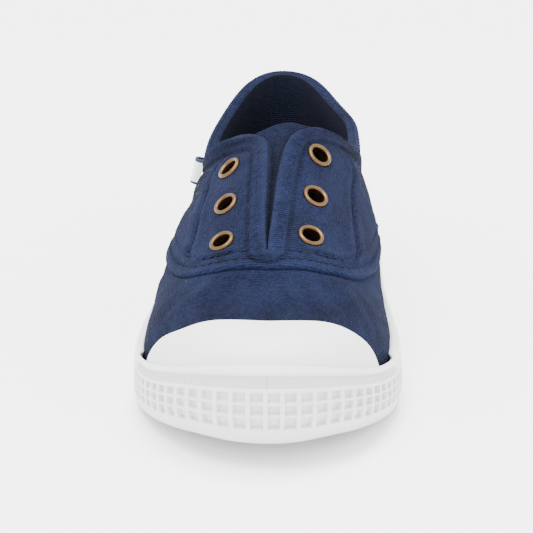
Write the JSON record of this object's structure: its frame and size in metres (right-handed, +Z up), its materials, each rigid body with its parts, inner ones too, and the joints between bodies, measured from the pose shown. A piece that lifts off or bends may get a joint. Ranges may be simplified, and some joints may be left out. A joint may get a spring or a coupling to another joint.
{
  "type": "canvas sneaker",
  "caption": "Low child's canvas sneaker for the right foot, without laces: cloth upper with overlaid quarters and eyelets, rubber toe cap and a moulded cup sole.",
  "frame": {"origin": "middle of the shoe's box in plan, on the floor it stands on", "axes": "+Y from the toe to the heel, +X towards the inner side of the foot, +Z up"},
  "size_m": [0.0741, 0.178, 0.0665],
  "materials": {
    "sole_rubber": "satin moulded white rubber",
    "cap_rubber": "smooth white rubber",
    "canvas": "washed navy canvas",
    "tongue_canvas": "coarse navy canvas",
    "insole_cloth": "dark navy lining cloth",
    "eyelet_brass": "antique brass",
    "tab_cloth": "plain white woven tape"
  },
  "bodies": {
    "root": {"outsole": "sole_rubber", "upper": "canvas", "quarters": "canvas", "toe_cap": "cap_rubber", "tongue": "tongue_canvas", "insole": "insole_cloth", "eyelet_outer_1": "eyelet_brass", "eyelet_outer_2": "eyelet_brass", "eyelet_outer_3": "eyelet_brass", "eyelet_inner_1": "eyelet_brass", "eyelet_inner_2": "eyelet_brass", "eyelet_inner_3": "eyelet_brass", "side_tab": "tab_cloth"}
  },
  "joints": []
}
